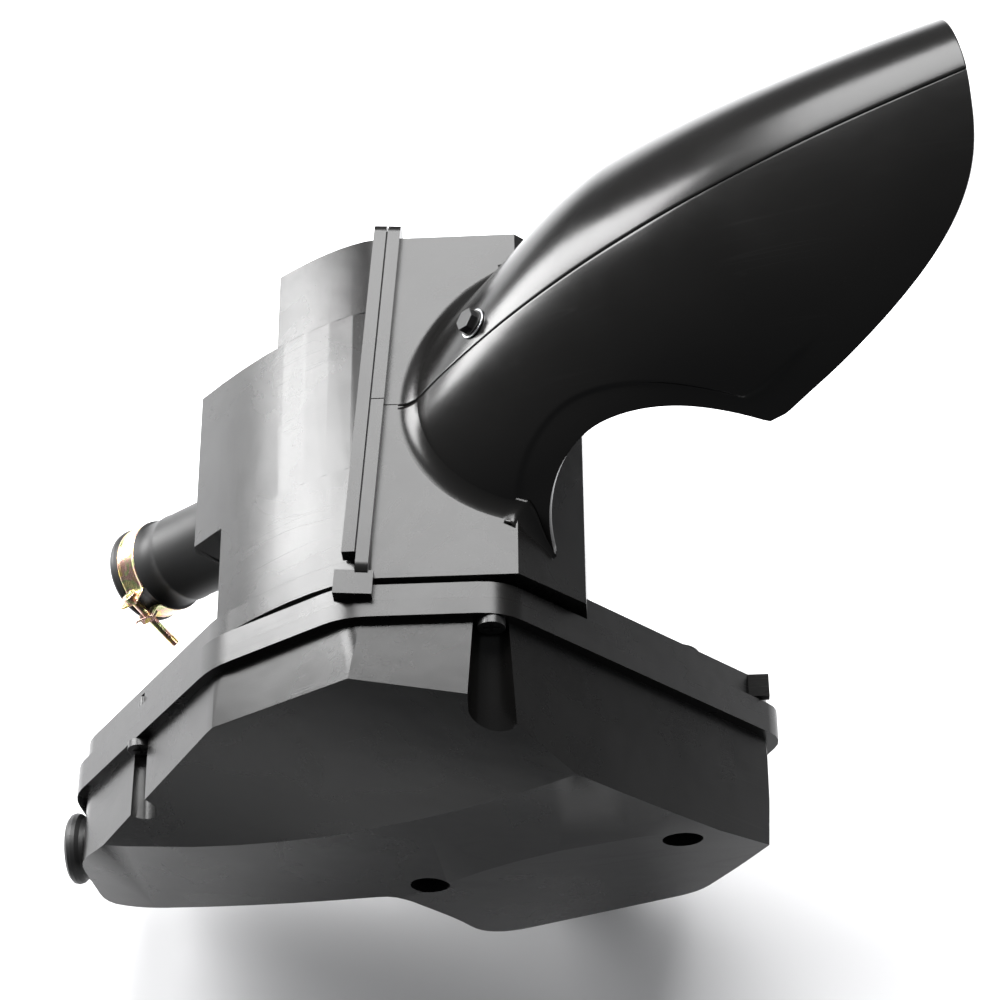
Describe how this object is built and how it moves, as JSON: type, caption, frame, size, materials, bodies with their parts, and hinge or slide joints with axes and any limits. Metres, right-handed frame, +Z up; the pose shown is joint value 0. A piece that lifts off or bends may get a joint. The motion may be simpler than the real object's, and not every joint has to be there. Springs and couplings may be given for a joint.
{
  "type": "air filter housing",
  "caption": "Moulded air filter housing for a small scooter engine, with a screwed outer cover, tall clean-air case, tyre splash guard and clamped rubber boot.",
  "frame": {"origin": "centre of the front mounting collar's bore, at its inboard end on the crankcase seat", "axes": "+X rearward along the engine, +Y inboard along the mounting bolts, towards the crankcase, +Z up"},
  "size_m": [0.4509, 0.2822, 0.455],
  "materials": {
    "cover_plastic": "black polypropylene, semi-gloss, finely scuffed",
    "case_plastic": "black polypropylene, semi-gloss",
    "guard_plastic": "black polypropylene, semi-gloss, polished tool surface",
    "grid_plastic": "dark grey moulded plastic",
    "seal_rubber": "soft black sealing cord",
    "boot_rubber": "satin black rubber",
    "foam": "open-cell foam, lightly oiled",
    "screw_black": "black-finished steel",
    "steel_zinc": "bright zinc-plated steel",
    "yellow_zinc": "yellow zinc-plated steel with a pink and green cast"
  },
  "bodies": {
    "case": {"main_case": "case_plastic", "rear_upper_shell": "case_plastic", "front_shell": "case_plastic", "shell_seal": "seal_rubber", "shell_screws": "steel_zinc", "guard_lower": "guard_plastic", "guard_upper": "guard_plastic", "guard_bolt": "screw_black", "guard_washer": "steel_zinc", "guard_nut": "steel_zinc", "filter_frame": "grid_plastic", "filter_foam": "foam", "filter_retainer": "grid_plastic", "retainer_screws": "steel_zinc", "mount_grommets": "boot_rubber", "mount_collars": "steel_zinc", "carb_boot": "boot_rubber", "boot_ring": "steel_zinc", "clamp_band": "yellow_zinc", "drain_cap": "boot_rubber", "drain_clip": "steel_zinc"},
    "cover": {"outer_cover": "cover_plastic", "cover_seal": "seal_rubber", "cover_screws": "screw_black", "intake_duct": "boot_rubber"},
    "clamp_screw": {"clamp_screw": "yellow_zinc"},
    "clamp_nut": {"clamp_nut": "yellow_zinc"}
  },
  "joints": [
    {"name": "cover_off", "type": "slide", "parent": "case", "child": "cover", "axis": [0, -1, 0], "range_m": [0, 0.12]},
    {"name": "clamp_screw_turn", "type": "hinge", "parent": "case", "child": "clamp_screw", "pos_m": [-0.14688, 0.03705, 0.05142], "axis": [0.5644, -0.4067, -0.7183], "range_deg": [0, 4114.3]},
    {"name": "clamp_nut_run", "type": "slide", "parent": "case", "child": "clamp_nut", "axis": [0.5644, -0.4067, -0.7183], "range_m": [0, 0.008]}
  ],
  "couplings": [
    {"joint": "clamp_screw_turn", "follows": "clamp_nut_run", "rad_per_m": 8976}
  ]
}
